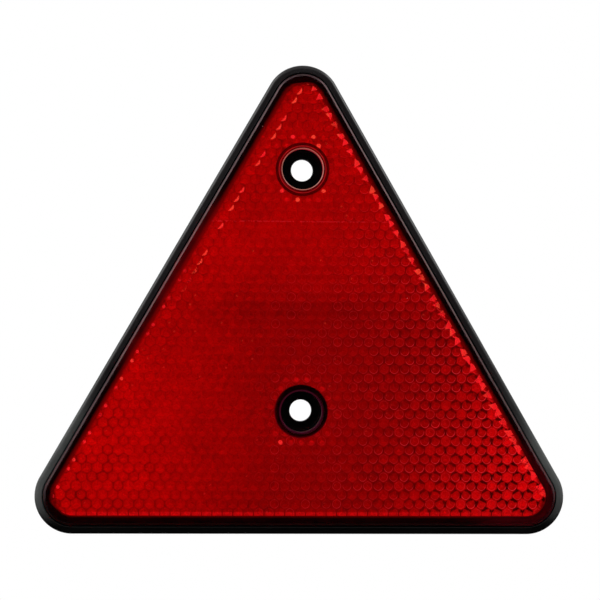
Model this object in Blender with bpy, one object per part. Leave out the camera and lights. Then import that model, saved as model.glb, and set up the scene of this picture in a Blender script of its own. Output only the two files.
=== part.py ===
"""Triangular rear reflector for trailers: a red prismatic lens seated in a black housing.

Metres, +Z up. The reflector stands upright, as it is mounted, and faces -Y. The origin lies
on the flat back, at the centre of the triangle. Every section is drawn as points of an inset
or a radius with a height above that back.
"""

import math

import bmesh
import bpy

# Outline of the reflector
WIDTH = 0.156
CORNER_RADIUS = 0.0112

# Housing
BACK_PLATE = 0.0020
BACK_CHAMFER = 0.0005
DRAFT_ANGLE = math.radians(1.5)
RIM_WALL = 0.0024
RIM_OUTER_ROUND = 0.0010
RIM_INNER_ROUND = 0.0003
LEDGE_WIDTH = 0.0027
AIR_GAP = 0.0011

# Lens
LENS_PLATE = 0.0022
LENS_PROUD = 0.0008
LENS_EDGE_ROUND = 0.0008
OPENING_ROUND = 0.0004

# Cube-corner pins on the back of the lens; one row's middle pin stands on the centre line
PIN_PITCH = 0.00306
PIN_ROOT = 0.0002
MIDDLE_ROW = -0.0011

# Screw openings, one above the other on the centre line
LOWER_SCREW_HEIGHT = 0.0362
SCREW_SPACING = 0.0712
SCREW_HOLE_RADIUS = 0.00325
OPENING_RADIUS = 0.0060
COLLAR_WALL = 0.0008
COLLAR_LENGTH = 0.0012
BOSS_LIP = 0.0005

# Clearance between the lens and the housing, wherever they meet
CLEARANCE = 0.0003

# Fineness of the round parts
CORNER_STEPS = 16
CIRCLE_STEPS = 40
ROUND_STEPS = 3

# Worked out from the sizes above
SIDE = WIDTH + 2 * (math.sqrt(3) - 1) * CORNER_RADIUS
INRADIUS = SIDE / (2 * math.sqrt(3))
SCREW_HEIGHTS = [LOWER_SCREW_HEIGHT - INRADIUS, LOWER_SCREW_HEIGHT + SCREW_SPACING - INRADIUS]

PIN_DEPTH = PIN_PITCH * math.sqrt(2 / 3)
PIN_TIPS = BACK_PLATE + AIR_GAP
PIN_VALLEYS = PIN_TIPS + PIN_DEPTH
LENS_BACK = PIN_VALLEYS + PIN_ROOT
LENS_FRONT = LENS_BACK + LENS_PLATE
LEDGE = LENS_BACK - CLEARANCE
RIM_TOP = LENS_FRONT - LENS_PROUD

LENS_INSET = RIM_WALL + CLEARANCE
POCKET_INSET = RIM_WALL + LEDGE_WIDTH
FIELD_INSET = POCKET_INSET + CLEARANCE

COLLAR_RADIUS = OPENING_RADIUS + COLLAR_WALL
MOUTH_RADIUS = COLLAR_RADIUS + CLEARANCE
BOSS_RADIUS = MOUTH_RADIUS + BOSS_LIP
FIELD_HOLE_RADIUS = BOSS_RADIUS + CLEARANCE


def triangle(inset):
    """Points (x, z) of the rounded triangle, drawn inset from the reflector's outer edge."""
    radius = max(CORNER_RADIUS - inset, CLEARANCE)
    reach = 2 * (INRADIUS - inset - radius)
    points = []
    for corner in (90, 210, 330):
        middle = math.radians(corner)
        for step in range(CORNER_STEPS + 1):
            angle = middle + math.radians(120 * step / CORNER_STEPS - 60)
            x = reach * math.cos(middle) + radius * math.cos(angle)
            z = reach * math.sin(middle) + radius * math.sin(angle)
            points.append((x, z))
    return points


def circle(centre, radius):
    """Points (x, z) of a circle whose centre lies on the centre line at a height centre."""
    turns = [2 * math.pi * step / CIRCLE_STEPS for step in range(CIRCLE_STEPS)]
    return [(radius * math.cos(turn), centre + radius * math.sin(turn)) for turn in turns]


def quarter_round(radius, inset, top):
    """Section points (inset, height) from a wall at inset, round its edge, on to a face at top."""
    turns = [math.pi / 2 * step / ROUND_STEPS for step in range(ROUND_STEPS + 1)]
    return [(inset + radius * (1 - math.cos(t)), top - radius * (1 - math.sin(t))) for t in turns]


def loft(bm, outlines):
    """Joins closed outlines, given as (points, height), by faces, and returns its end rings."""
    rings = [[bm.verts.new((x, -height, z)) for x, z in points] for points, height in outlines]
    for near, far in zip(rings, rings[1:]):
        for i in range(len(near)):
            bm.faces.new((near[i - 1], near[i], far[i], far[i - 1]))
    return rings[0], rings[-1]


def cap(bm, rings):
    """Fills the flat face that the first ring bounds, round the openings of the other rings."""
    edges = [bm.edges.get((ring[i - 1], ring[i])) for ring in rings for i in range(len(ring))]
    bmesh.ops.triangle_fill(bm, use_beauty=True, edges=edges)


def new_object(name, bm, material=None):
    """Puts the body of bm in the scene under its name, with its round stretches shaded smooth."""
    bmesh.ops.recalc_face_normals(bm, faces=bm.faces)
    mesh = bpy.data.meshes.new(name)
    bm.to_mesh(mesh)
    bm.free()
    thing = bpy.data.objects.new(name, mesh)
    bpy.context.collection.objects.link(thing)
    if material is None:
        thing.hide_render = True
        thing.display_type = "WIRE"
    else:
        mesh.materials.append(material)
        mesh.shade_smooth()
        mesh.set_sharp_from_angle(angle=math.radians(35))
    return thing


def new_material(name, colour, roughness, transmission=0.0):
    material = bpy.data.materials.new(name)
    material.use_nodes = True
    shader = material.node_tree.nodes["Principled BSDF"]
    shader.inputs["Base Color"].default_value = (*colour, 1.0)
    shader.inputs["Roughness"].default_value = roughness
    shader.inputs["Metallic"].default_value = 0.0
    shader.inputs["Transmission Weight"].default_value = transmission
    return material


def combine(thing, operation, other):
    """Adds a Boolean modifier that cuts thing by other, or joins them."""
    boolean = thing.modifiers.new(other.name, "BOOLEAN")
    boolean.operation = operation
    boolean.solver = "EXACT"
    boolean.object = other


def housing():
    """A shallow tray: raised rim, ledge for the lens, pocket for the pins, and two screw bosses."""
    bm = bmesh.new()

    lean = math.tan(DRAFT_ANGLE) * (RIM_TOP - RIM_OUTER_ROUND - BACK_CHAMFER)
    section = [(BACK_CHAMFER, 0), (0, BACK_CHAMFER)]
    section += quarter_round(RIM_OUTER_ROUND, lean, RIM_TOP)
    inner_edge = quarter_round(RIM_INNER_ROUND, 0, RIM_TOP)
    section += [(RIM_WALL - inset, height) for inset, height in reversed(inner_edge)]
    section += [(RIM_WALL, LEDGE), (POCKET_INSET, LEDGE), (POCKET_INSET, BACK_PLATE)]
    back, floor = loft(bm, [(triangle(inset), height) for inset, height in section])

    backs, floors = [back], [floor]
    for centre in SCREW_HEIGHTS:
        section = [
            (BOSS_RADIUS, BACK_PLATE),
            (BOSS_RADIUS, LEDGE),
            (MOUTH_RADIUS, LEDGE),
            (MOUTH_RADIUS, LEDGE - COLLAR_LENGTH),
            (OPENING_RADIUS, LEDGE - COLLAR_LENGTH),
            (OPENING_RADIUS, BACK_PLATE),
            (SCREW_HOLE_RADIUS, BACK_PLATE),
            (SCREW_HOLE_RADIUS, 0),
        ]
        foot, bore = loft(bm, [(circle(centre, radius), height) for radius, height in section])
        floors.append(foot)
        backs.append(bore)
    cap(bm, backs)
    cap(bm, floors)

    black = new_material("black_plastic", (0.012, 0.011, 0.012), 0.42)
    return new_object("housing", bm, black)


def lens_plate(material):
    """The lens without its pins: a plate with a round front edge and a collar at each opening."""
    bm = bmesh.new()

    section = [(LENS_INSET, LENS_BACK)] + quarter_round(LENS_EDGE_ROUND, LENS_INSET, LENS_FRONT)
    flange, face = loft(bm, [(triangle(inset), height) for inset, height in section])

    flanges, faces = [flange], [face]
    for centre in SCREW_HEIGHTS:
        section = [
            (COLLAR_RADIUS, LENS_BACK),
            (COLLAR_RADIUS, LENS_BACK - COLLAR_LENGTH),
            (OPENING_RADIUS, LENS_BACK - COLLAR_LENGTH),
        ]
        section += quarter_round(OPENING_ROUND, OPENING_RADIUS, LENS_FRONT)
        root, mouth = loft(bm, [(circle(centre, radius), height) for radius, height in section])
        flanges.append(root)
        faces.append(mouth)
    cap(bm, flanges)
    cap(bm, faces)
    return new_object("lens", bm, material)


def pin(bm, x, z):
    """One cube-corner pin: three square faces that meet at right angles in its tip."""
    radius = PIN_PITCH / math.sqrt(3)
    tip = bm.verts.new((x, -PIN_TIPS, z))
    rim = []
    for corner in range(6):
        angle = math.radians(60 * corner + 30)
        height = PIN_VALLEYS - (PIN_DEPTH / 2 if corner % 2 else 0)
        rim.append(bm.verts.new((x + radius * math.cos(angle), -height, z + radius * math.sin(angle))))
    for corner in (0, 2, 4):
        bm.faces.new((tip, rim[corner - 1], rim[corner], rim[corner + 1]))


def reaches_field(x, z):
    """True for a pin that lies in the field's triangle or is cut by its edge."""
    sides = [math.radians(angle) for angle in (30, 150, 270)]
    furthest = max(x * math.cos(side) + z * math.sin(side) for side in sides)
    return furthest < INRADIUS - FIELD_INSET + PIN_PITCH


def pin_slab():
    """Rows of pins in a honeycomb, closed in front by a flat face inside the lens plate."""
    bm = bmesh.new()
    row_pitch = PIN_PITCH * math.sqrt(3) / 2
    rows = math.ceil(2 * INRADIUS / row_pitch)
    for row in range(-rows, rows + 1):
        for column in range(-rows, rows + 1):
            x, z = (column + row % 2 / 2) * PIN_PITCH, MIDDLE_ROW + row * row_pitch
            if reaches_field(x, z):
                pin(bm, x, z)
    bmesh.ops.remove_doubles(bm, verts=bm.verts, dist=PIN_PITCH / 1000)

    border = [edge for edge in bm.edges if edge.is_boundary]
    raised = bmesh.ops.extrude_edge_only(bm, edges=border)["geom"]
    for vertex in raised:
        if isinstance(vertex, bmesh.types.BMVert):
            vertex.co.y = -(LENS_BACK + LENS_PLATE / 2)
    bmesh.ops.edgeloop_fill(bm, edges=[edge for edge in bm.edges if edge.is_boundary])
    return new_object("pin_slab", bm)


def field_outline():
    """The block that the pins are trimmed to: inside the ledge and round both bosses."""
    bm = bmesh.new()
    low, high = BACK_PLATE, LENS_FRONT
    outlines = [triangle(FIELD_INSET)]
    outlines += [circle(centre, FIELD_HOLE_RADIUS) for centre in SCREW_HEIGHTS]
    ends = [loft(bm, [(points, low), (points, high)]) for points in outlines]
    cap(bm, [end[0] for end in ends])
    cap(bm, [end[1] for end in ends])
    return new_object("field_outline", bm)


def lens():
    """The whole red moulding: plate, collars and the field of pins on its back."""
    red = new_material("red_acrylic", (0.42, 0.002, 0.004), 0.06, transmission=0.5)
    plate = lens_plate(red)
    pins = pin_slab()
    combine(pins, "INTERSECT", field_outline())
    combine(plate, "UNION", pins)
    return plate


def main():
    for old in list(bpy.data.objects):
        bpy.data.objects.remove(old)
    housing()
    lens()


main()
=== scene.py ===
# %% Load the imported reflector
import math
import random

import bmesh
import bpy
from mathutils import Matrix, Quaternion, Vector


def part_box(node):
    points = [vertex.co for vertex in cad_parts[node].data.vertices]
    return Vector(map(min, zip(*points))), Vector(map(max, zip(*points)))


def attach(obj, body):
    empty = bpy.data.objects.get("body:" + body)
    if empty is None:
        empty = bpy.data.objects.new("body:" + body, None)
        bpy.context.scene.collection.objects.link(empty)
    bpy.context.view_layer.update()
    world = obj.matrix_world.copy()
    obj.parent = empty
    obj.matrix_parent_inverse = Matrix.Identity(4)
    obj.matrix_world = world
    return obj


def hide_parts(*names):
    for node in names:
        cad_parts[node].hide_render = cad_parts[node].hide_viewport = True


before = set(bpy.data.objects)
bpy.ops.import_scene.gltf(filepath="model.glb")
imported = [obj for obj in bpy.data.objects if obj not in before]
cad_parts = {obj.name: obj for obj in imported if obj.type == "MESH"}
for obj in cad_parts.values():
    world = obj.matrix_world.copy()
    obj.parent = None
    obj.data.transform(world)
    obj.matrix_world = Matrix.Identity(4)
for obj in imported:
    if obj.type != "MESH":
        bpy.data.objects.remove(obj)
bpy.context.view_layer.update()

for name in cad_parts:
    low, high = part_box(name)
    print(name, "from", [round(1000 * v, 2) for v in low], "to", [round(1000 * v, 2) for v in high])

# %% [markdown]
# A triangular trailer reflector is two mouldings that are welded together: a black tray and a
# clear red lens. Both are flat shapes with the same rounded triangle for an outline, so every
# size below is either an inset from the outer edge or a height above the flat back. The front
# looks along -Y, so a height h lies at y = -h.

# %% Sizes of the two mouldings, in metres
WIDTH = 0.156
CORNER_RADIUS = 0.0112
BACK_PLATE = 0.0020
BACK_CHAMFER = 0.0005
DRAFT_ANGLE = math.radians(1.5)
RIM_WALL = 0.0024
RIM_OUTER_ROUND = 0.0010
RIM_INNER_ROUND = 0.0003
POCKET_INSET = 0.0051
FIELD_INSET = 0.0054
LENS_INSET = 0.0027
LENS_EDGE_ROUND = 0.0008
CLEARANCE = 0.0003
PIN_PITCH = 0.00306
PIN_ROOT = 0.0002
MIDDLE_ROW = -0.0011
AIR_GAP = 0.0011
LENS_PLATE = 0.0022
LENS_PROUD = 0.0008

# %% Sizes that follow from them
SIDE = WIDTH + 2 * (math.sqrt(3) - 1) * CORNER_RADIUS
INRADIUS = SIDE / (2 * math.sqrt(3))
ROW_PITCH = PIN_PITCH * math.sqrt(3) / 2
PIN_DEPTH = PIN_PITCH * math.sqrt(2 / 3)
PIN_TIPS = BACK_PLATE + AIR_GAP
PIN_VALLEYS = PIN_TIPS + PIN_DEPTH
LENS_BACK = PIN_VALLEYS + PIN_ROOT
LENS_FRONT = LENS_BACK + LENS_PLATE
LEDGE = LENS_BACK - CLEARANCE
RIM_TOP = LENS_FRONT - LENS_PROUD
print(f"lens from {1000 * PIN_TIPS:.2f} to {1000 * LENS_FRONT:.2f} mm above the back")

# %% [markdown]
# Two screws, one above the other on the centre line, hold the reflector. Each goes through an
# opening in the lens, a recess in the tray for its head, and a hole in the back. The lens drops
# a collar into the boss that stands round each recess.

# %% Sizes of the screw openings, in metres
LOWER_SCREW_HEIGHT = 0.0362
SCREW_SPACING = 0.0712
HOLE_RADIUS = 0.00325
OPENING_RADIUS = 0.0060
OPENING_ROUND = 0.0004
COLLAR_RADIUS = 0.0068
COLLAR_LENGTH = 0.0012
MOUTH_RADIUS = 0.0071
BOSS_RADIUS = 0.0076
FIELD_HOLE_RADIUS = 0.0079
SCREW_HEIGHTS = [LOWER_SCREW_HEIGHT - INRADIUS, LOWER_SCREW_HEIGHT + SCREW_SPACING - INRADIUS]
print("screw holes at z =", [round(1000 * height, 2) for height in SCREW_HEIGHTS], "mm")

# %% [markdown]
# The camera comes first. The photograph was taken from straight in front, a little above the
# middle and a little to the left, about half a metre away. The reflector's outline in the
# picture gives the focal length, in millimetres: it fills 527 of 600 pixels. Its bottom edge
# isn't quite level there, and a small turn of the camera takes that up.

# %% Camera
CAMERA_PLACE = (-0.0220, -0.528, 0.0193)
LOOKS_AT = Vector((-0.00024, 0.0, 0.0192))
FOCAL_LENGTH = 106.5
CAMERA_TURN = math.radians(0.37)
camera = bpy.data.objects.new("camera", bpy.data.cameras.new("camera"))
bpy.context.scene.collection.objects.link(camera)
bpy.context.scene.camera = camera
camera.data.lens = FOCAL_LENGTH
camera.location = CAMERA_PLACE
sight = (LOOKS_AT - camera.location).to_track_quat("-Z", "Y")
camera.rotation_euler = (sight @ Quaternion((0, 0, 1), CAMERA_TURN)).to_euler()
print("camera at", [round(v, 4) for v in camera.location])

# %% [markdown]
# Every outline is the same rounded triangle at another inset. It starts as a circle, whose
# three thirds are moved outwards: each third becomes a rounded corner and the gaps between
# them become the straight sides. An arc that is drawn in steps lies a little inside its true
# circle, so the radius is divided by the cosine of half a step to keep the sides in place.

# %% Directions in the plane of the reflector
CORNERS = (90, 210, 330)
SIDES = (30, 150, 270)
LOWER_LEFT, LOWER_RIGHT = CORNERS[1:]
RIGHT_SIDE, LEFT_SIDE, LOW_SIDE = SIDES


def way(degrees):
    """The direction at an angle in the plane of the reflector; 90 degrees is up."""
    return Vector((math.cos(math.radians(degrees)), 0, math.sin(math.radians(degrees))))


def corner_centre(degrees):
    """The point that one of the three corners is rounded about."""
    return 2 * (INRADIUS - CORNER_RADIUS) * way(degrees)


# %% Outline
CORNER_STEPS = 32
HALF_STEP = math.pi / (3 * CORNER_STEPS)
FLAT_RING = 0.0001


def outline(bm, inset, height):
    """One flat face in the shape of the reflector, which faces the front."""
    radius = CORNER_RADIUS - inset
    circle = bmesh.ops.create_circle(
        bm, cap_ends=True, segments=3 * CORNER_STEPS, radius=radius / math.cos(HALF_STEP),
        matrix=Matrix.Rotation(HALF_STEP, 4, "Y") @ Matrix.Rotation(math.pi / 2, 4, "X"))
    arcs = {degrees: [] for degrees in CORNERS}
    for vertex in circle["verts"]:
        nearest = max(arcs, key=lambda degrees: vertex.co.dot(way(degrees)))
        arcs[nearest].append(vertex)
    for degrees, arc in arcs.items():
        bmesh.ops.translate(bm, verts=arc, vec=corner_centre(degrees))
    bmesh.ops.translate(bm, verts=circle["verts"], vec=(0, -height, 0))
    face = circle["verts"][0].link_faces[0]
    face.normal_update()
    if face.normal.y > 0:
        face.normal_flip()
    return face


def rounded_edge(radius, inset, top, steps=6):
    """Section points (inset, height) from a wall at inset, round its edge, to a face at top.

    A narrow flat ring at the end keeps the shading of the flat face free of the round one's.
    """
    turns = [math.pi / 2 * step / steps for step in range(steps + 1)]
    arc = [(inset + radius * (1 - math.cos(t)), top - radius * (1 - math.sin(t))) for t in turns]
    return arc + [(inset + radius + FLAT_RING, top)]


# %% [markdown]
# The walls of a moulding are drawn like a path: the flat face is inset and moved a step at a
# time, and each step leaves a ring of wall faces behind. Inset keeps an even distance round
# the corners, which scaling wouldn't. The round parts, such as a screw boss, are a section
# that is spun once about its screw. The flat faces between them are filled last.

# %% Walls, turned parts and flat faces
CIRCLE_STEPS = 72
SAME_HEIGHT = 1e-6


def draw_walls(bm, section):
    """Walls along a section of (inset, height) points. Returns the face at its end."""
    face = outline(bm, *section[0])
    for (inset, height), (next_inset, next_height) in zip(section, section[1:]):
        bmesh.ops.inset_region(
            bm, faces=[face], thickness=next_inset - inset, depth=next_height - height,
            use_even_offset=True, use_boundary=True)
    return face


def turn(bm, centre, section):
    """Spins a section of (radius, height) points about the axis of the screw at centre."""
    points = [bm.verts.new((radius, -height, centre)) for radius, height in section]
    lines = [bm.edges.new(pair) for pair in zip(points, points[1:])]
    bmesh.ops.spin(
        bm, geom=points + lines, cent=(0, 0, centre), axis=(0, 1, 0),
        angle=2 * math.pi, steps=CIRCLE_STEPS, use_merge=True)


def lies_at(element, height):
    """True for an edge or a face that lies flat at a height above the back."""
    return all(abs(vertex.co.y + height) < SAME_HEIGHT for vertex in element.verts)


def close(bm, height):
    """Fills the flat face at a height between all open rings that lie there."""
    rim = [edge for edge in bm.edges if edge.is_boundary and lies_at(edge, height)]
    bmesh.ops.triangle_fill(bm, use_beauty=True, edges=rim)


def new_piece(name, bm, materials, smooth=35):
    """Makes the finished bmesh a piece of the reflector that replaces nothing yet."""
    bmesh.ops.recalc_face_normals(bm, faces=bm.faces)
    mesh = bpy.data.meshes.new(name)
    bm.to_mesh(mesh)
    bm.free()
    for material in materials:
        mesh.materials.append(material)
    mesh.shade_smooth()
    mesh.set_sharp_from_angle(angle=math.radians(smooth))
    piece = bpy.data.objects.new(name, mesh)
    bpy.context.scene.collection.objects.link(piece)
    print(name, "has", len(mesh.polygons), "faces")
    return piece


# %% [markdown]
# Moulded plastic is never one even colour. It has a fine grain from the tool, soft patches where
# it is a little duller, and dust. Each of these is a pattern of shader nodes. A node is added,
# given its values and wired up in the same way every time, so small helpers come first.

# %% Helpers for shader nodes
def connect(tree, socket, value):
    """Links a socket to another node's output, or sets it to a plain value."""
    if isinstance(value, bpy.types.NodeSocket):
        tree.links.new(value, socket)
    else:
        socket.default_value = value


def add_node(tree, kind, values=None, **settings):
    """Adds a node with its settings, and gives the inputs that are named their values."""
    node = tree.nodes.new(kind)
    for setting, value in settings.items():
        setattr(node, setting, value)
    for socket, value in (values or {}).items():
        connect(tree, node.inputs[socket], value)
    return node


def calc(tree, operation, *values):
    """One step of arithmetic on sockets and numbers."""
    return add_node(tree, "ShaderNodeMath", dict(enumerate(values)), operation=operation).outputs[0]


def combine(tree, operation, first, *others):
    """Joins sockets and numbers one after the other, by the same step of arithmetic."""
    for other in others:
        first = calc(tree, operation, first, other)
    return first


def product(tree, *masks):
    """Several masks multiplied, so that all of them have to hold."""
    return combine(tree, "MULTIPLY", *masks)


def total(tree, *values):
    """Several values added up."""
    return combine(tree, "ADD", *values)


def largest(tree, *masks):
    """The strongest of several masks, so that any one of them is enough."""
    return combine(tree, "MAXIMUM", *masks)


def fade(tree, value, start, end, low=0.0, high=1.0):
    """A soft step: low before start, high after end."""
    return add_node(tree, "ShaderNodeMapRange", {
        "Value": value, "From Min": start, "From Max": end, "To Min": low, "To Max": high},
        interpolation_type="SMOOTHSTEP").outputs[0]


def line(tree, value, centre, half_width):
    """A thin soft line where a value passes through centre."""
    distance = calc(tree, "ABSOLUTE", calc(tree, "SUBTRACT", value, centre))
    return fade(tree, distance, half_width / 2, half_width, 1.0, 0.0)


def blend(tree, factor, first, second):
    """A colour between two, each a socket or red, green and blue."""
    colours = [c if isinstance(c, bpy.types.NodeSocket) else (*c, 1) for c in (first, second)]
    mix = add_node(tree, "ShaderNodeMix", data_type="RGBA")
    for socket, value in zip((mix.inputs[0], mix.inputs[6], mix.inputs[7]), (factor, *colours)):
        connect(tree, socket, value)
    return mix.outputs[2]


def layered(tree, colour, layers):
    """Lays colours over the first one in turn, each where its own mask holds."""
    for mask, tone in layers:
        colour = blend(tree, mask, colour, tone)
    return colour


# %% [markdown]
# Many looks of the reflector follow its shape: they lie along one side, near a corner, round a
# screw, or at one height above the back. These places are distances and directions, which a few
# more helpers work out. What nodes can't work out, such as which pin a face belongs to, the mesh
# carries with it.

# %% Helpers for places on the reflector
def vector_step(tree, operation, *values):
    """One step of arithmetic on vectors. A length or a dot product comes out as a number."""
    node = add_node(tree, "ShaderNodeVectorMath", dict(enumerate(values)), operation=operation)
    return node.outputs["Value" if operation in ("DOT_PRODUCT", "LENGTH", "DISTANCE") else "Vector"]


def toward(tree, vector, degrees):
    """How far a vector reaches in a direction in the plane of the reflector."""
    return vector_step(tree, "DOT_PRODUCT", vector, way(degrees))


def distance(tree, vector, point):
    """The distance between a vector and a fixed point."""
    return vector_step(tree, "DISTANCE", vector, point)


def from_screw(tree, vector, centre):
    """The shortest way to a point from the axis of the screw at centre."""
    from_centre = vector_step(tree, "SUBTRACT", vector, (0, 0, centre))
    return vector_step(tree, "MULTIPLY", from_centre, (1, 0, 1))


def above_back(tree, vector):
    """The height of a point above the flat back."""
    return vector_step(tree, "DOT_PRODUCT", vector, (0, -1, 0))


def carried(tree, name, output="Fac"):
    """A value that the mesh carries under a name."""
    known = tree.nodes.get(name) or add_node(
        tree, "ShaderNodeAttribute", name=name, attribute_name=name)
    return known.outputs[output]


# %% [markdown]
# A pattern that both mouldings have is a node group. It is built once and placed in each
# material with that moulding's own values.

# %% Helpers for groups and materials
def new_group(name, inputs, outputs):
    """An empty node group with a Vector input, the float inputs given and the outputs named."""
    group = bpy.data.node_groups.new(name, "ShaderNodeTree")
    group.interface.new_socket("Vector", in_out="INPUT", socket_type="NodeSocketVector")
    for socket, value in inputs.items():
        made = group.interface.new_socket(socket, in_out="INPUT", socket_type="NodeSocketFloat")
        made.default_value = value
    for socket in outputs:
        group.interface.new_socket(socket, in_out="OUTPUT", socket_type="NodeSocketFloat")
    start, end = group.nodes.new("NodeGroupInput"), group.nodes.new("NodeGroupOutput")
    return group, start.outputs, end.inputs


def use_group(tree, group, values):
    """Places a group in a material, with its own values, and returns its outputs."""
    node = tree.nodes.new("ShaderNodeGroup")
    node.node_tree = group
    for socket, value in values.items():
        connect(tree, node.inputs[socket], value)
    return node.outputs


def new_material(name):
    """A material with its Principled shader and the object's own coordinates."""
    material = bpy.data.materials.new(name)
    material.use_nodes = True
    tree = material.node_tree
    place = tree.nodes.new("ShaderNodeTexCoord").outputs["Object"]
    return material, tree, tree.nodes["Principled BSDF"].inputs, place


# %% [markdown]
# Both mouldings have grain, patches and dust. The group takes the size of the grain and of the
# patches and the share of dust, and it puts out plain masks. Each material decides what to do
# with them.

# %% Group: moulded surface
SPECKS_PER_METRE = 420.0
surface, take, give = new_group(
    "moulded surface", {"Grain Size": 0.0002, "Patch Size": 0.02, "Dust Share": 0.05},
    ["Grain", "Patches", "Dust"])
for size, pattern, detail in (("Grain Size", "Grain", 2.0), ("Patch Size", "Patches", 3.0)):
    noise = add_node(surface, "ShaderNodeTexNoise", {
        "Vector": take["Vector"], "Scale": calc(surface, "DIVIDE", 1.0, take[size]),
        "Detail": detail, "Roughness": 0.55})
    surface.links.new(noise.outputs["Fac"], give[pattern])
specks = add_node(
    surface, "ShaderNodeTexVoronoi", {"Vector": take["Vector"], "Scale": SPECKS_PER_METRE})
lot = add_node(surface, "ShaderNodeSeparateColor", {"Color": specks.outputs["Color"]})
dust = product(
    surface, fade(surface, specks.outputs["Distance"], 0.05, 0.11, 1.0, 0.0),
    calc(surface, "LESS_THAN", lot.outputs["Red"], take["Dust Share"]))
surface.links.new(dust, give["Dust"])
print("group", surface.name, "puts out", [socket.name for socket in give if socket.name])

# %% [markdown]
# The tray is black ABS. It hardly reflects, so what shows is its grain, the soft light on its
# rounded edges and the two lower corners, which are painted grey, partly as rubbed wear and
# partly as a painted sheen. Along the bottom and down in the screw recesses painted shade makes
# it a deeper black. The bores are duller than the rest.

# %% Black plastic: colour
BLACK, WORN_BLACK = (0.0035, 0.0029, 0.0031), (0.0095, 0.0083, 0.0088)
BOTTOM_SHADE_BLACK, RECESS_SHADE_BLACK = (0.0004, 0.0004, 0.0004), (0.0006, 0.0005, 0.0006)
DUST_GREY, RUBBED_SHEEN_GREY = (0.030, 0.028, 0.028), (0.040, 0.042, 0.041)
black, tree, shader, place = new_material("black_plastic")
mould = use_group(tree, surface, {
    "Vector": place, "Grain Size": 0.00022, "Patch Size": 0.018, "Dust Share": 0.06})
spot = add_node(tree, "ShaderNodeSeparateXYZ", {"Vector": place}).outputs
# Rubbed wear and painted sheen: the two lower corners turn a soft grey.
rubbed_sheen = product(
    tree, fade(tree, calc(tree, "ABSOLUTE", spot["X"]), 0.057, 0.072),
    fade(tree, spot["Z"], -0.0475, -0.0380), fade(tree, mould["Patches"], 0.25, 0.6, 0.5, 1.0))
# Painted shade: the black is deeper along the bottom and down in the screw recesses.
along_bottom = fade(tree, spot["Z"], -0.0405, -0.0465)
to_screw = combine(tree, "MINIMUM", *(
    vector_step(tree, "LENGTH", from_screw(tree, place, centre)) for centre in SCREW_HEIGHTS))
recess = fade(tree, to_screw, MOUTH_RADIUS + 0.0001, MOUTH_RADIUS)
colour = layered(tree, BLACK, (
    (mould["Patches"], WORN_BLACK), (mould["Dust"], DUST_GREY), (along_bottom, BOTTOM_SHADE_BLACK),
    (rubbed_sheen, RUBBED_SHEEN_GREY), (recess, RECESS_SHADE_BLACK)))
connect(tree, shader["Base Color"], colour)

# %% Black plastic: gloss
BORE_ROUGHNESS = 0.9
bore = fade(tree, to_screw, HOLE_RADIUS, HOLE_RADIUS + 0.0003, 1.0, 0.0)
gloss = fade(tree, mould["Patches"], 0.3, 0.7, 0.14, 0.22)
connect(tree, shader["Roughness"], largest(tree, gloss, product(tree, bore, BORE_ROUGHNESS)))
shader["Specular IOR Level"].default_value = 0.25

# %% [markdown]
# The pins that push the tray out of its mould leave six round marks on the back, near the
# corners and near the middles of the sides. They are as shallow as the grain, so both are drawn
# as relief.

# %% Black plastic: grain and the round marks on the back
EJECTOR_RADIUS = 0.0024
EJECTOR_EDGE = 0.0001
RELIEF_DEPTH = 0.00002
EJECTORS = [0.072 * way(degrees) for degrees in CORNERS]
EJECTORS += [0.034 * way(degrees) for degrees in SIDES]
to_mark = combine(tree, "MINIMUM", *(distance(tree, place, point) for point in EJECTORS))
round_marks = product(
    tree, fade(tree, to_mark, EJECTOR_RADIUS - EJECTOR_EDGE, EJECTOR_RADIUS + EJECTOR_EDGE),
    fade(tree, spot["Y"], -0.0002, -0.0001))
relief = total(tree, product(tree, mould["Grain"], 0.25), product(tree, round_marks, 2.0))
bump = add_node(
    tree, "ShaderNodeBump", {"Strength": 1.0, "Distance": RELIEF_DEPTH, "Height": relief})
connect(tree, shader["Normal"], bump.outputs["Normal"])
print("material", black.name, "with", len(tree.nodes), "nodes")

# %% [markdown]
# The tray has a raised rim, rounded outside and with a little draft so that it leaves the
# mould, a ledge that carries the lens, and a deep pocket for the prisms. Two hollow bosses
# stand in the pocket and carry the lens round the screw openings.

# %% Tray
bm = bmesh.new()
lean = math.tan(DRAFT_ANGLE) * (RIM_TOP - RIM_OUTER_ROUND - BACK_CHAMFER)
section = [(BACK_CHAMFER, 0), (0, BACK_CHAMFER)]
section += rounded_edge(RIM_OUTER_ROUND, lean, RIM_TOP)
section += [(RIM_WALL - i, h) for i, h in reversed(rounded_edge(RIM_INNER_ROUND, 0, RIM_TOP, 4))]
section += [(RIM_WALL, LEDGE), (POCKET_INSET, LEDGE), (POCKET_INSET, BACK_PLATE)]
pocket_floor = draw_walls(bm, section)
bmesh.ops.delete(bm, geom=[pocket_floor], context="FACES_ONLY")
for centre in SCREW_HEIGHTS:
    turn(bm, centre, [
        (BOSS_RADIUS, BACK_PLATE), (BOSS_RADIUS, LEDGE), (MOUTH_RADIUS, LEDGE),
        (MOUTH_RADIUS, LEDGE - COLLAR_LENGTH), (OPENING_RADIUS, LEDGE - COLLAR_LENGTH),
        (OPENING_RADIUS, BACK_PLATE), (HOLE_RADIUS, BACK_PLATE), (HOLE_RADIUS, 0)])
close(bm, BACK_PLATE)
close(bm, 0)
tray = new_piece("tray", bm, [black])
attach(tray, "root")
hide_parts("housing")
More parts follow.
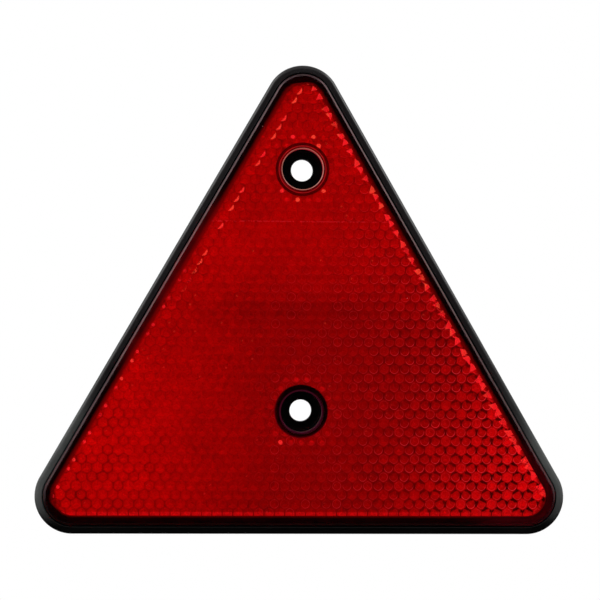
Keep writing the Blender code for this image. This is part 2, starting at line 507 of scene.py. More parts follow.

# %% [markdown]
# The lens is clear red acrylic. From the front it is a plain sheet of red glass; what gives it
# its look is behind: a honeycomb of cube-corner pins. Light that enters a pin meets three faces
# at right angles, one after the other, and leaves the way it came. So the front gets a red
# glass, and the faces of the pins get a material of their own, a deep red that is partly
# mirror, with the light and shade inside the pins painted on. The rounded edges stand a little
# proud of the rim and are rubbed, so the lamps draw a soft, even line along them.

# %% Red acrylic
FULL_GLOSS, FULL_RUB = LENS_FRONT - 0.00001, LENS_FRONT - 0.00008
EDGE_ROUGHNESS = 0.34
DUST_ROUGHNESS = 0.35
DEEPER_TINT, PALER_TINT, DUST_TINT = (1.0, 0.17, 0.16), (1.0, 0.23, 0.22), (1.0, 0.55, 0.5)
clear_red, tree, shader, place = new_material("red_acrylic")
mould = use_group(tree, surface, {
    "Vector": place, "Grain Size": 0.0006, "Patch Size": 0.03, "Dust Share": 0.012})
tint = blend(tree, mould["Patches"], DEEPER_TINT, PALER_TINT)
connect(tree, shader["Base Color"], blend(tree, mould["Dust"], tint, DUST_TINT))
rubbed_edge = fade(tree, above_back(tree, place), FULL_GLOSS, FULL_RUB, 0.0, EDGE_ROUGHNESS)
dull = largest(tree, rubbed_edge, product(tree, mould["Dust"], DUST_ROUGHNESS))
connect(tree, shader["Roughness"], dull)
shader["Transmission Weight"].default_value = 1.0
shader["IOR"].default_value = 1.49
shader["Specular Tint"].default_value = (1.0, 0.62, 0.68, 1.0)
print("material", clear_red.name, "with", len(tree.nodes), "nodes")

# %% [markdown]
# The lens is welded to the ledge and to both bosses. Where the plastic melted it is no longer
# clear but a dull dark red: on the flange, up the side of the lens and on the edges of the
# openings. Light is painted on this red: a brighter painted sheen smeared along the upper left
# side, a painted red glow on the flange towards the pins, and a paler painted reflection at the
# lower right corner.

# %% Welded red: flange, with painted sheen, glow and reflection
DARK_WELD, SHEEN_SMEAR_RED = (0.007, 0.0, 0.0005), (0.10, 0.004, 0.010)
PIN_GLOW_RED, CORNER_REFLECTION_RED = (0.30, 0.003, 0.006), (0.040, 0.0015, 0.010)
SMEAR_HEIGHT, SMEAR_HALF_LENGTH = 0.002, 0.034
welded_and_painted, tree, shader, place = new_material("welded_red_painted_light")
mould = use_group(tree, surface, {
    "Vector": place, "Grain Size": 0.0005, "Patch Size": 0.012, "Dust Share": 0.0})
# Painted sheen: a brighter smear along the upper left side.
sheen_smear = product(
    tree, fade(tree, toward(tree, place, LEFT_SIDE), 0.040, 0.044),
    line(tree, toward(tree, place, LEFT_SIDE - 90), SMEAR_HEIGHT, SMEAR_HALF_LENGTH),
    fade(tree, mould["Patches"], 0.35, 0.60, 0.4, 1.0))
inset = carried(tree, "inset")
on_low_side = fade(tree, toward(tree, place, LOW_SIDE), INRADIUS - 0.0090, INRADIUS - 0.0062)
from_rim = calc(tree, "SUBTRACT", inset, product(tree, on_low_side, 0.0005))
# Painted glow: the pins' red spreading on to the flange near them.
pin_glow = product(
    tree, fade(tree, from_rim, 0.0042, 0.0056), fade(tree, inset, 0.0060, 0.0056))
# Painted reflection: a paler red at the lower right corner.
to_corner = distance(tree, place, corner_centre(LOWER_RIGHT))
corner_reflection = fade(tree, to_corner, 0.010, 0.022, 1.0, 0.0)
flange_colour = layered(tree, DARK_WELD, (
    (sheen_smear, SHEEN_SMEAR_RED), (pin_glow, PIN_GLOW_RED), (corner_reflection, CORNER_REFLECTION_RED)))

# %% [markdown]
# The two openings are painted as if lit from above. Round the lower one the weld is dark, with a
# faint painted sheen below and to the left, a painted red highlight line where the pins begin,
# strongest below and to the left, and a dim painted highlight on its edge. Round the upper one
# painted red light fills a ring, the collar's end is painted as a bright red ring of light with a
# painted highlight line on it, and its edge has a golden painted highlight.

# %% Welded red: openings, with painted light
DIM_SHEEN_RED, HIGHLIGHT_LINE_RED = (0.060, 0.0005, 0.004), (0.26, 0.004, 0.040)
RING_LIGHT_RED, RING_HIGHLIGHT_RED = (0.11, 0.0, 0.002), (0.60, 0.05, 0.06)
COLLAR_GLOW_DARK, COLLAR_GLOW_PALE = (0.20, 0.005, 0.014), (0.46, 0.022, 0.045)
LOWER_EDGE_HIGHLIGHT, UPPER_EDGE_HIGHLIGHT = (0.030, 0.002, 0.007), (0.50, 0.19, 0.14)
from_lower, from_upper = (from_screw(tree, place, centre) for centre in SCREW_HEIGHTS)
to_lower, to_upper = (
    vector_step(tree, "LENGTH", spoke) for spoke in (from_lower, from_upper))
# Painted sheen and a painted highlight line below and to the left of the lower opening.
below_left = fade(tree, toward(tree, from_lower, 235), -0.004, 0.006)
lower_sheen = product(
    tree, fade(tree, to_lower, 0.0066, 0.0078), fade(tree, to_lower, 0.0080, 0.0079),
    below_left, 0.7)
lower_highlight_line = product(
    tree, line(tree, to_lower, FIELD_HOLE_RADIUS, 0.0003),
    fade(tree, below_left, 0.0, 1.0, 0.1, 0.9))
# Painted light round the upper opening: a red ring of light, the collar's end lit unevenly, a
# highlight line.
upper_ring_light = fade(tree, to_upper, 0.0082, 0.0080)
upper_collar = fade(tree, to_upper, COLLAR_RADIUS, COLLAR_RADIUS + 0.0003, 1.0, 0.0)
collar_highlight_line = line(tree, to_upper, COLLAR_RADIUS + 0.0001, 0.0002)
collar_glow = blend(tree, fade(tree, mould["Patches"], 0.3, 0.7), COLLAR_GLOW_DARK, COLLAR_GLOW_PALE)
# Painted highlight on the rounded edge of each opening: golden above, dim below.
on_edge = fade(tree, above_back(tree, place), LENS_FRONT - 0.0006, LENS_FRONT - 0.0005)
edge_highlight = blend(tree, fade(tree, to_lower, 0.02, 0.03), LOWER_EDGE_HIGHLIGHT, UPPER_EDGE_HIGHLIGHT)
colour = layered(tree, flange_colour, (
    (lower_sheen, DIM_SHEEN_RED), (lower_highlight_line, HIGHLIGHT_LINE_RED), (upper_ring_light, RING_LIGHT_RED),
    (upper_collar, collar_glow), (collar_highlight_line, RING_HIGHLIGHT_RED), (on_edge, edge_highlight)))
connect(tree, shader["Base Color"], colour)
shader["Specular IOR Level"].default_value = 0.0
connect(tree, shader["Roughness"], fade(tree, mould["Grain"], 0.3, 0.7, 0.35, 0.5))
print("material", welded_and_painted.name, "with", len(tree.nodes), "nodes")

# %% [markdown]
# The pins look different over the lens. On the left the red is smooth and bright, in the middle
# it is deeper, with faint rings and dots, and towards the lower right corner each pin is a cup
# with a light lower lip and a dark upper edge. The real look comes from light that turns round
# inside the pins. Drawing it as colour instead needs two places: where on the lens a point
# lies, and where on its own pin. Both are worked out first. On the lens, the two numbers of a
# fade are metres; for grain, patches and chance they are shares between 0 and 1.

# %% Red prisms: the place on the lens
prisms, tree, shader, place = new_material("red_prisms")
mould = use_group(tree, surface, {
    "Vector": place, "Grain Size": 0.0012, "Patch Size": 0.016, "Dust Share": 0.015})
across, upward = toward(tree, place, 0), toward(tree, place, 90)
to_last_corner = toward(tree, place, -22)
right_inset, low_inset = (
    calc(tree, "SUBTRACT", INRADIUS, toward(tree, place, side)) for side in (RIGHT_SIDE, LOW_SIDE))
inset = carried(tree, "inset")
right_half = fade(tree, across, -0.006, 0.034)
far_right = fade(tree, toward(tree, place, -10), -0.002, 0.056)
last_corner = fade(tree, to_last_corner, 0.034, 0.074)
first_corner = fade(tree, distance(tree, place, corner_centre(LOWER_LEFT)), 0.048, 0.014)
border = fade(tree, inset, FIELD_INSET + 0.003, FIELD_INSET + 0.016, 1.0, 0.0)

# %% [markdown]
# On a pin, the measure is half its width: the tip lies at 0 and the middle of each side at 1.
# The pins of three neighbouring columns differ in turn, and each pin has a chance of its own.

# %% Red prisms: the place on a pin
pin_centre = carried(tree, "pin_centre", "Vector")
pin_turn = carried(tree, "pin_turn")
pin_left_inset = calc(tree, "SUBTRACT", INRADIUS, toward(tree, pin_centre, LEFT_SIDE))
on_pin = vector_step(
    tree, "MULTIPLY", vector_step(tree, "SUBTRACT", place, pin_centre),
    (2 / PIN_PITCH, 0, 2 / PIN_PITCH))
from_tip = vector_step(tree, "LENGTH", on_pin)
near_side = largest(tree, *(
    calc(tree, "ABSOLUTE", toward(tree, on_pin, degrees)) for degrees in (0, 60, 120)))
turned_side = largest(tree, *(
    product(tree, toward(tree, on_pin, degrees), pin_turn) for degrees in (0, 120, 240)))
turned = calc(tree, "ABSOLUTE", pin_turn)
low_part = fade(tree, toward(tree, on_pin, 90), 0.35, -0.45)
chance = carried(tree, "pin_chance")

# %% [markdown]
# Then each feature gets a mask. The broad ones come first: painted shade that deepens the red
# of the middle, a faint painted shadow across it, a thin seam where the tool's inserts meet, and
# unevenness.

# %% Red prisms: broad shades
SHADOW_HEIGHT, SHADOW_HALF_WIDTH, SHADOW_STRENGTH = 0.0163, 0.0030, 0.14
SEAM_HEIGHT, SEAM_HALF_WIDTH, SEAM_STRENGTH = 0.0423, 0.0003, 0.34
# Painted shade: the red is deeper in the middle, less so to the left, at the top and near the lower
# right corner.
deep = product(
    tree, fade(tree, across, 0.000, -0.064, 1.0, 0.0), fade(tree, upward, 0.010, 0.036, 1.0, 0.30),
    fade(tree, to_last_corner, 0.028, 0.068, 1.0, 0.25))
clouds = fade(tree, mould["Patches"], 0.35, 0.70, 0.0, 0.25)
mottle = product(
    tree, fade(tree, mould["Grain"], 0.30, 0.70), fade(tree, across, -0.030, 0.000, 0.09, 0.18))
dusty = product(tree, mould["Dust"], 0.5)
shadow_band = product(
    tree, line(tree, upward, SHADOW_HEIGHT, SHADOW_HALF_WIDTH),
    fade(tree, across, 0.034, 0.010), fade(tree, across, -0.040, -0.010), SHADOW_STRENGTH)
seam = product(
    tree, line(tree, upward, SEAM_HEIGHT, SEAM_HALF_WIDTH),
    fade(tree, calc(tree, "ABSOLUTE", across), 0.031, 0.026),
    fade(tree, mould["Grain"], 0.35, 0.60, 0.0, SEAM_STRENGTH))

# %% [markdown]
# The next masks draw the pins themselves: their own shade, which differs at random, and the
# light inside them as painted light and shade: painted shade in the gaps between them at the
# lower left, on their sides and in dark wedges on the turned pins near the lower right corner,
# brighter painted pins there and on the right, and painted highlights as rings, lips and a dot
# at the tip.

# %% Red prisms: single pins
own_shade = product(tree, chance, fade(tree, far_right, 0.0, 1.0, 0.08, 0.22))
# Painted shade in the gaps between the pins near the lower left corner.
gaps = product(
    tree, fade(tree, total(tree, from_tip, product(tree, mould["Grain"], 0.8)), 1.08, 1.50),
    first_corner, fade(tree, chance, 0.1, 0.9, 0.06, 0.46))
# Painted light: brighter pins towards the lower right corner and the right, most of all the plain
# ones.
bright_pin = product(
    tree, calc(tree, "SUBTRACT", 1.0, product(tree, turned, 0.5)),
    largest(tree, last_corner, product(tree, far_right, 0.35)),
    fade(tree, from_tip, 0.4, 1.0, 1.0, 0.6))
# Painted shade along the sides of each pin, stronger near the border and on the right.
rough_side = fade(tree, total(tree, near_side, product(tree, mould["Grain"], 0.5)), 1.02, 1.28)
sides = product(
    tree, rough_side, fade(tree, mould["Patches"], 0.40, 0.60, 0.35, 1.0),
    largest(tree, fade(tree, border, 0.0, 1.0, 0.07, 0.30), product(tree, right_half, 0.38)),
    fade(tree, last_corner, 0.0, 1.0, 1.0, 0.35))
# Painted highlights: faint rings on the pins, and a light lower lip on the pins towards the right.
ring = product(
    tree, fade(tree, from_tip, 0.68, 0.78), fade(tree, from_tip, 0.82, 0.92, 1.0, 0.0))
ring_zone = largest(
    tree, product(tree, right_half, fade(tree, upward, 0.050, 0.034)),
    product(tree, fade(tree, across, -0.024, -0.002), fade(tree, upward, 0.034, 0.022)))
faint_ring = product(
    tree, ring, ring_zone, fade(tree, turned, 0.0, 1.0, 0.30, 0.14),
    fade(tree, chance, 0.0, 0.6, 0.2, 1.0))
lip = product(
    tree, ring, low_part, largest(tree, far_right, product(tree, right_half, 0.45)),
    fade(tree, turned, 0.0, 1.0, 0.25, 1.0), fade(tree, chance, 0.0, 1.0, 0.30, 0.80))
# Painted highlight: a dot at the tip of each pin, a little stronger towards the right.
tip = product(
    tree, fade(tree, from_tip, 0.08, 0.22, 1.0, 0.0),
    fade(tree, across, -0.020, 0.004, 0.02, 0.10))
# Painted shade: dark wedges on the turned pins towards the lower right corner.
slope = total(
    tree, turned_side, product(tree, toward(tree, on_pin, 90), 0.24),
    fade(tree, mould["Grain"], 0.30, 0.70, -0.14, 0.14))
wedge = product(
    tree, fade(tree, slope, 0.58, 0.86), turned,
    total(tree, product(tree, far_right, 0.65), product(tree, last_corner, 0.30)))

# %% [markdown]
# Pins that the border cuts open get glints: small spots that are painted bright and are also
# mirrors, shaded as flat lands that face the front, so each shows a painted highlight as well as
# a reflection. Along the right border they are chips in the shape of little triangles, one for
# each pin's width, each turned its own way, every third one larger and nearer. The chips grow
# towards the bottom.

# %% Red prisms: chips along the right border
CHIP_INSET = 0.0060
along = calc(tree, "DIVIDE", toward(tree, place, RIGHT_SIDE + 90), PIN_PITCH)
chip = calc(tree, "FLOOR", along)
every_third = calc(tree, "COMPARE", calc(tree, "FLOORED_MODULO", chip, 3.0), 2.0, 0.1)
lot = add_node(
    tree, "ShaderNodeTexWhiteNoise", {"W": chip}, noise_dimensions="1D").outputs["Value"]
sideways = total(
    tree, calc(tree, "SUBTRACT", calc(tree, "FRACT", along), 0.55),
    product(tree, every_third, 0.32))
inwards = calc(tree, "DIVIDE", calc(tree, "SUBTRACT", right_inset, CHIP_INSET), PIN_PITCH)
on_chip = add_node(tree, "ShaderNodeCombineXYZ", {"X": sideways, "Z": inwards}).outputs[0]
on_chip = add_node(
    tree, "ShaderNodeVectorRotate", {"Vector": on_chip, "Angle": product(tree, lot, 2.1)},
    rotation_type="Y_AXIS").outputs[0]
from_middle = largest(tree, *(toward(tree, on_chip, degrees) for degrees in (0, 120, 240)))
chip_growth = total(
    tree, product(tree, every_third, 0.04), fade(tree, upward, 0.040, -0.020, 0.0, 0.08))
# Painted highlight: bright chips on the cut pins along the right border.
right_chip = product(
    tree, fade(tree, calc(tree, "SUBTRACT", from_middle, chip_growth), 0.25, 0.19),
    fade(tree, lot, 0.0, 0.5, 0.65, 1.0), fade(tree, right_inset, 0.0080, 0.0070))

# %% [markdown]
# Along the left border the glints are crescents near the top and round dots further down, all
# painted highlights. A few pins anywhere have a painted glint dot as well.

# %% Red prisms: crescents and dots along the left border
CRESCENT_INSET, DOT_INSET, HALF_WIDTH = 0.0079, 0.0053, 0.0008
# Painted glints: crescents and dots on the pins along the left border, and a few dots anywhere.
crescent = product(
    tree, line(tree, pin_left_inset, CRESCENT_INSET, HALF_WIDTH),
    fade(tree, upward, 0.010, 0.040), fade(tree, from_tip, 0.30, 0.50),
    fade(tree, from_tip, 0.80, 0.95, 1.0, 0.0), fade(tree, toward(tree, on_pin, -40), 0.26, 0.46),
    calc(tree, "GREATER_THAN", chance, 0.40))
left_dot = product(
    tree, line(tree, pin_left_inset, DOT_INSET, HALF_WIDTH),
    fade(tree, distance(tree, on_pin, 0.60 * way(-30)), 0.42, 0.28),
    calc(tree, "GREATER_THAN", pin_turn, -0.5), fade(tree, chance, 0.0, 0.8, 0.5, 1.0),
    fade(tree, upward, 0.040, 0.016))
few_dots = product(
    tree, fade(tree, distance(tree, on_pin, 0.45 * way(160)), 0.30, 0.15),
    calc(tree, "GREATER_THAN", chance, 0.95), 0.4)

# %% [markdown]
# Round the screws the bosses cut the pins as well. Each cut pin has a soft painted highlight dot,
# clearest above and below the screw, and by chance some of them get a painted glint.

# %% Red prisms: dots round the screws
SCREW_DOT_REACH, SCREW_DOT_HALF_WIDTH = 0.0092, 0.0022
SPARK_CHANCES = (0.82, 0.48)
# Painted highlights round the screws: soft dots and, by chance, glints.
ragged = total(
    tree, distance(tree, on_pin, 0.35 * way(-70)), product(tree, mould["Grain"], 0.4))
dot = fade(tree, ragged, 0.80, 0.52)
soft_dots, screw_sparks = [], []
for centre, least_chance in zip(SCREW_HEIGHTS, SPARK_CHANCES):
    spoke = from_screw(tree, pin_centre, centre)
    reach = vector_step(tree, "LENGTH", spoke)
    upright = calc(tree, "ABSOLUTE", calc(tree, "DIVIDE", toward(tree, spoke, 90), reach))
    close_by = product(
        tree, dot, line(tree, reach, SCREW_DOT_REACH, SCREW_DOT_HALF_WIDTH),
        fade(tree, upright, 0.5, 0.85, 0.5, 1.0))
    soft_dots.append(product(tree, close_by, 0.7))
    screw_sparks.append(product(
        tree, dot, calc(tree, "GREATER_THAN", close_by, 0.6),
        calc(tree, "GREATER_THAN", chance, least_chance)))
soft_dot = largest(tree, *soft_dots)
flash = largest(tree, right_chip, crescent, left_dot, few_dots, *screw_sparks)

# %% [markdown]
# The outermost pins get painted shade from the rim. Along the bottom a row of them is painted as
# lit. Then the colour is mixed in layers, from the red of the whole field down to the flashes.
# Those are more often orange near the top. A flash is a painted highlight on a small mirror that
# faces the front.

# %% Red prisms: colour in layers
BRIGHT_RED = (0.80, 0.006, 0.008)
DEEP_RED = (0.53, 0.004, 0.006)
DARK_RED = (0.05, 0.0, 0.0)
LIGHT_RED = (1.0, 0.16, 0.24)
FIRE_RED = (0.86, 0.022, 0.036)
CRIMSON = (1.0, 0.06, 0.09)
ORANGE = (1.0, 0.24, 0.13)
low_row = product(
    tree, fade(tree, low_inset, 0.0067, 0.0062), fade(tree, near_side, 0.98, 0.84))
outermost = product(
    tree, fade(tree, inset, 0.0062, 0.0052), fade(tree, low_row, 0.0, 0.5, 0.62, 0.1))
orange_share = product(
    tree, fade(tree, chance, 0.50, 0.90), fade(tree, upward, -0.020, 0.025, 0.25, 1.0))
layers = (
    (deep, DEEP_RED), (clouds, DEEP_RED), (mottle, DARK_RED), (dusty, DARK_RED),
    (shadow_band, DARK_RED), (own_shade, DARK_RED), (gaps, DARK_RED), (bright_pin, FIRE_RED),
    (sides, DARK_RED), (faint_ring, LIGHT_RED), (tip, LIGHT_RED), (wedge, DARK_RED),
    (lip, LIGHT_RED), (seam, LIGHT_RED), (outermost, DARK_RED), (low_row, FIRE_RED),
    (soft_dot, FIRE_RED), (flash, blend(tree, orange_share, CRIMSON, ORANGE)))
connect(tree, shader["Base Color"], layered(tree, BRIGHT_RED, layers))

# %% Red prisms: gloss
connect(tree, shader["Roughness"], fade(tree, mould["Grain"], 0.3, 0.7, 0.22, 0.36))
connect(tree, shader["Metallic"], fade(tree, flash, 0.0, 1.0, 0.2, 1.0))
shader["Specular IOR Level"].default_value = 0.0
flat_front = add_node(tree, "ShaderNodeMix", data_type="VECTOR")
bare = add_node(tree, "ShaderNodeNewGeometry").outputs["Normal"]
for socket, value in ((0, flash), (4, bare), (5, (0, -1, 0))):
    connect(tree, flat_front.inputs[socket], value)
connect(tree, shader["Normal"], vector_step(tree, "NORMALIZE", flat_front.outputs[1]))
print("material", prisms.name, "with", len(layers), "layers and", len(tree.nodes), "nodes")

# %% [markdown]
# The lens without its pins is a plate with a rounded front edge and a collar at each opening.
# It could be one extrusion, but the collars and the rounds want walls and turned parts, as the
# tray does. Its flange, side wall, collar ends and opening edges are welded and carry painted
# sheen, glow and highlights, the rest is clear.

# %% Lens plate with its collars
LENS_MATERIALS = [clear_red, prisms, welded_and_painted]
SIDE_WALL_BAND = 0.005
WELDED_EDGE_REACH = (0.00645, 0.00612)


def is_welded(face):
    """True for a face of the plate where the plastic fused in the weld; it gets the weld red and
    its painted light.
    """
    middle = face.calc_center_median()
    height = -middle.y
    if lies_at(face, LENS_BACK) or lies_at(face, LENS_BACK - COLLAR_LENGTH):
        return True
    upright = abs(face.normal.y) < 0.01 and height > LENS_BACK
    if upright and middle.xz.length > INRADIUS - SIDE_WALL_BAND:
        return True
    return height > LENS_FRONT - OPENING_ROUND and any(
        math.hypot(middle.x, middle.z - centre) < reach
        for centre, reach in zip(SCREW_HEIGHTS, WELDED_EDGE_REACH))


bm = bmesh.new()
section = [(LENS_INSET, LENS_BACK)] + rounded_edge(LENS_EDGE_ROUND, LENS_INSET, LENS_FRONT)
front = draw_walls(bm, section)
bmesh.ops.delete(bm, geom=[front], context="FACES_ONLY")
for centre in SCREW_HEIGHTS:
    collar = [
        (COLLAR_RADIUS, LENS_BACK), (COLLAR_RADIUS, LENS_BACK - COLLAR_LENGTH),
        (OPENING_RADIUS, LENS_BACK - COLLAR_LENGTH)]
    turn(bm, centre, collar + rounded_edge(OPENING_ROUND, OPENING_RADIUS, LENS_FRONT, 4))
close(bm, LENS_BACK)
close(bm, LENS_FRONT)
for face in bm.faces:
    if is_welded(face):
        face.material_index = LENS_MATERIALS.index(welded_and_painted)
plate = new_piece("lens_plate", bm, LENS_MATERIALS)

# %% [markdown]
# One pin is the corner of a cube. A cube is stood on that corner and cut by six upright planes
# to a hexagon, which is all the work: the three square faces that remain fit those of every
# neighbour. Its copies are merged into one sheet, which is closed by walls and a flat face.

# %% One pin
def pin_corner():
    """The three faces of one pin, with their tip at the origin, as a mesh."""
    bm = bmesh.new()
    edges = [math.sqrt(2 / 3) * way(degrees) - math.sqrt(1 / 3) * Vector((0, 1, 0))
             for degrees in (90, 330, 210)]
    stand = Matrix(edges).transposed().to_4x4()
    size = 2 * PIN_PITCH
    bmesh.ops.create_cube(bm, size=size, matrix=stand @ Matrix.Translation([size / 2] * 3))
    for side in range(6):
        bmesh.ops.bisect_plane(
            bm, geom=bm.verts[:] + bm.edges[:] + bm.faces[:], clear_outer=True,
            plane_co=PIN_PITCH / 2 * way(60 * side), plane_no=way(60 * side))
    far = [face for face in bm.faces if face.calc_center_median().y < -PIN_DEPTH]
    bmesh.ops.delete(bm, geom=far, context="FACES")
    mesh = bpy.data.meshes.new("pin")
    bm.to_mesh(mesh)
    bm.free()
    return mesh


one_pin = pin_corner()
print("one pin:", len(one_pin.vertices), "points,", len(one_pin.polygons), "faces,",
      f"{1000 * max(-v.co.y for v in one_pin.vertices):.3f} mm deep,",
      f"{1000 * PIN_DEPTH:.3f} expected")

# %% Slab of pins
def reaches_field(x, z):
    """True for a pin that lies in the field's triangle or is cut by its edge."""
    furthest = max(Vector((x, 0, z)).dot(way(degrees)) for degrees in SIDES)
    return furthest < INRADIUS - FIELD_INSET + PIN_PITCH


def only(geometry, kind):
    """The vertices, or the faces, of a list of mesh elements."""
    return [element for element in geometry if isinstance(element, kind)]


PIN_TURNS = (1.0, 0.0, -1.0)
bm = bmesh.new()
bm.from_mesh(one_pin)
number = bm.faces.layers.int.new("pin_number")
centre = bm.faces.layers.float_vector.new("pin_centre")
turn_of = bm.faces.layers.float.new("pin_turn")
pin_geometry = bm.verts[:] + bm.edges[:] + bm.faces[:]
rows = math.ceil(2 * INRADIUS / ROW_PITCH)
count = 0
for row in range(-rows, rows + 1):
    for column in range(-rows, rows + 1):
        x, z = (column + row % 2 / 2) * PIN_PITCH, MIDDLE_ROW + row * ROW_PITCH
        if reaches_field(x, z):
            copy = bmesh.ops.duplicate(bm, geom=pin_geometry)["geom"]
            bmesh.ops.translate(bm, verts=only(copy, bmesh.types.BMVert), vec=(x, -PIN_TIPS, z))
            count += 1
            for face in only(copy, bmesh.types.BMFace):
                face[number] = count
                face[centre] = (x, 0, z)
                face[turn_of] = PIN_TURNS[(2 * column + row % 2) % 3]
bmesh.ops.delete(bm, geom=only(pin_geometry, bmesh.types.BMVert), context="VERTS")
bmesh.ops.remove_doubles(bm, verts=bm.verts, dist=PIN_PITCH / 1000)
for face in bm.faces:
    face.material_index = LENS_MATERIALS.index(prisms)
border_edges = [edge for edge in bm.edges if edge.is_boundary]
raised = bmesh.ops.extrude_edge_only(bm, edges=border_edges)["geom"]
for vertex in only(raised, bmesh.types.BMVert):
    vertex.co.y = -(LENS_BACK + LENS_PLATE / 2)
bmesh.ops.edgeloop_fill(bm, edges=[edge for edge in bm.edges if edge.is_boundary])
slab = new_piece("pin_slab", bm, LENS_MATERIALS)
print(count, "pins")

# %% [markdown]
# The slab is trimmed to the field, inside the ledge and round both bosses, and then joined to
# the plate. Both are Boolean jobs, because the cut runs through pins wherever it falls, as it
# does in the real tool.

# %% Trim and join
def combined(piece, operation, other):
    """Applies a Boolean to the piece and removes the other object."""
    boolean = piece.modifiers.new("join", "BOOLEAN")
    boolean.operation = operation
    boolean.solver = "EXACT"
    boolean.object = other
    graph = bpy.context.evaluated_depsgraph_get()
    old, piece.data = piece.data, bpy.data.meshes.new_from_object(piece.evaluated_get(graph))
    piece.modifiers.clear()
    bpy.data.meshes.remove(old)
    bpy.data.objects.remove(other)
    print(piece.name, "after", operation.lower(), "has", len(piece.data.polygons), "faces")


bm = bmesh.new()
top = draw_walls(bm, [(FIELD_INSET, BACK_PLATE), (FIELD_INSET, LENS_FRONT)])
bmesh.ops.delete(bm, geom=[top], context="FACES_ONLY")
for centre in SCREW_HEIGHTS:
    turn(bm, centre, [(FIELD_HOLE_RADIUS, BACK_PLATE), (FIELD_HOLE_RADIUS, LENS_FRONT)])
close(bm, BACK_PLATE)
close(bm, LENS_FRONT)
for face in bm.faces:
    face.material_index = LENS_MATERIALS.index(prisms)
field = new_piece("field", bm, LENS_MATERIALS)
combined(slab, "INTERSECT", field)
combined(plate, "UNION", slab)
plate.name = plate.data.name = "prism_lens"
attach(plate, "root")
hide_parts("lens")

# %% [markdown]
# The materials ask the lens for two more things: how far inside the outer edge a point lies,
# round the corners too, and each pin's chance, a number between 0 and 1 that makes the pins
# differ. Both are written on to the finished mesh.

# %% Mark the lens
def inset_at(point):
    """How far inside the reflector's outer edge a point lies, its round corners included."""
    plain = INRADIUS - max(point.dot(way(degrees)) for degrees in SIDES)
    if plain > CORNER_RADIUS:
        return plain
    corners = [corner_centre(degrees) for degrees in CORNERS]
    reach = []
    for first, second in zip(corners, corners[1:] + corners[:1]):
        edge = second - first
        share = min(max((point - first).dot(edge) / edge.length_squared, 0), 1)
        reach.append((point - first - share * edge).length)
    return CORNER_RADIUS - min(reach)


lens_mesh = plate.data
insets = lens_mesh.attributes.new("inset", "FLOAT", "POINT")
flat = [Vector((vertex.co.x, 0, vertex.co.z)) for vertex in lens_mesh.vertices]
insets.data.foreach_set("value", [inset_at(point) for point in flat])
numbers = [item.value for item in lens_mesh.attributes["pin_number"].data]
dice = random.Random(7)
chance_of = {number: dice.random() for number in sorted(set(numbers) - {0})}
chances = lens_mesh.attributes.new("pin_chance", "FLOAT", "FACE")
chances.data.foreach_set("value", [chance_of.get(number, 1.0) for number in numbers])
print(len(chance_of), "pins or parts of pins in the lens")

# %% [markdown]
# The studio is plain: a pale backdrop and floor, a soft world that is pale above and dark
# below, and two large soft lamps high up at the left and the right. The soft world keeps the
# red even over the whole lens, and the lamps draw a thin light line on each rounded edge.

# %% World
DARK_BELOW, PALE_ABOVE = 0.05, 0.95
world = bpy.data.worlds.new("studio")
bpy.context.scene.world = world
world.use_nodes = True
tree = world.node_tree
sky = tree.nodes["Background"]
sky.inputs["Color"].default_value = (1, 1, 1, 1)
looking = tree.nodes.new("ShaderNodeTexCoord").outputs["Generated"]
upward = add_node(tree, "ShaderNodeSeparateXYZ", {"Vector": looking}).outputs["Z"]
tree.links.new(fade(tree, upward, -0.35, 0.1, DARK_BELOW, PALE_ABOVE), sky.inputs["Strength"])

# %% Lamps
def soft_lamp(name, place, size, watts):
    """A square soft lamp that faces the reflector."""
    lamp = bpy.data.objects.new(name, bpy.data.lights.new(name, "AREA"))
    bpy.context.scene.collection.objects.link(lamp)
    lamp.data.size = size
    lamp.data.energy = watts
    lamp.location = place
    lamp.rotation_euler = (-Vector(place)).to_track_quat("-Z", "Y").to_euler()
    print(name, "at", place, "with", watts, "W")


soft_lamp("left_lamp", (-0.85, -0.45, 0.70), 0.8, 10.7)
soft_lamp("right_lamp", (0.85, -0.40, 0.75), 0.7, 9.8)

# %% [markdown]
# The backdrop is plain white to the camera, in gloss and through the lens; otherwise it is lit
# like any sheet. Two black cards stand in front of the reflector and under it. Only gloss sees
# them: they keep the front of the lens and its lower edge from turning white.

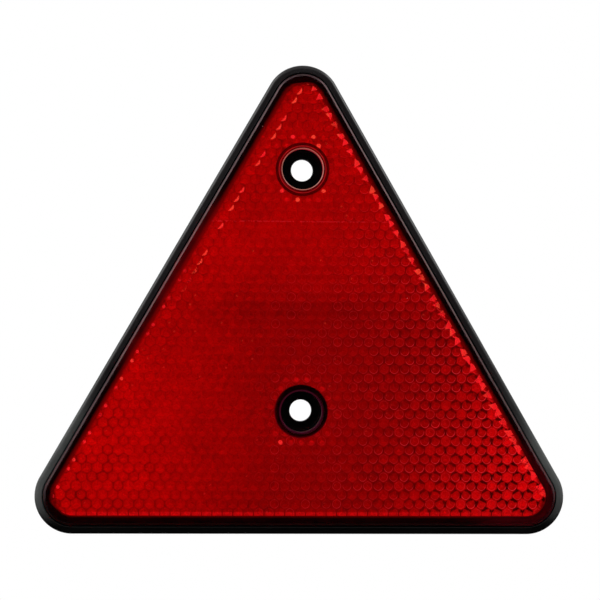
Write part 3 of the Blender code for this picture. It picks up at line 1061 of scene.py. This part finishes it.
# %% Backdrop, floor and cards
UPRIGHT, LEVEL = math.pi / 2, 0


def stage_sheet(name, size, place, turn_x, colour, white_background):
    """A flat stage sheet, which can show as plain white to all but the light it scatters."""
    bm = bmesh.new()
    matrix = Matrix.Translation(place) @ Matrix.Rotation(turn_x, 4, "X")
    bmesh.ops.create_grid(bm, x_segments=8, y_segments=8, size=size / 2, matrix=matrix)
    mesh = bpy.data.meshes.new(name)
    bm.to_mesh(mesh)
    bm.free()
    sheet = bpy.data.objects.new(name, mesh)
    bpy.context.scene.collection.objects.link(sheet)
    material, tree, shader, _ = new_material(name)
    shader["Base Color"].default_value = (*colour, 1)
    shader["Roughness"].default_value = 0.9
    if white_background:
        path = tree.nodes.new("ShaderNodeLightPath").outputs
        seen = largest(
            tree, path["Is Camera Ray"], path["Is Glossy Ray"], path["Is Transmission Ray"])
        glow = add_node(tree, "ShaderNodeEmission", {"Color": (1, 1, 1, 1), "Strength": 1.0})
        lit = tree.nodes["Principled BSDF"].outputs[0]
        mixed = add_node(tree, "ShaderNodeMixShader", {0: seen, 1: lit, 2: glow.outputs[0]})
        connect(tree, tree.nodes["Material Output"].inputs["Surface"], mixed.outputs[0])
    mesh.materials.append(material)
    return sheet


def black_card(name, size, place, turn_x):
    """A black sheet that only gloss sees."""
    card = stage_sheet(name, size, place, turn_x, (0.0, 0.0, 0.0), False)
    card.visible_camera = False
    card.visible_transmission = False
    card.visible_diffuse = False
    card.visible_shadow = False


stage_sheet("backdrop", 8.0, (0, 1.3, 0.6), UPRIGHT, (0.9, 0.9, 0.9), True)
stage_sheet("floor", 14.0, (0, 0.2, -0.45), LEVEL, (0.85, 0.85, 0.85), False)
black_card("lens_card", 0.42, (0.03, -0.56, 0.02), UPRIGHT)
black_card("low_card", 1.2, (0.0, 0.04, -0.13), LEVEL)

# %% [markdown]
# The picture keeps plain colours.

# %% View settings
bpy.context.scene.view_settings.view_transform = "Standard"
bpy.context.scene.cycles.blur_glossy = 0.0
bpy.context.view_layer.update()
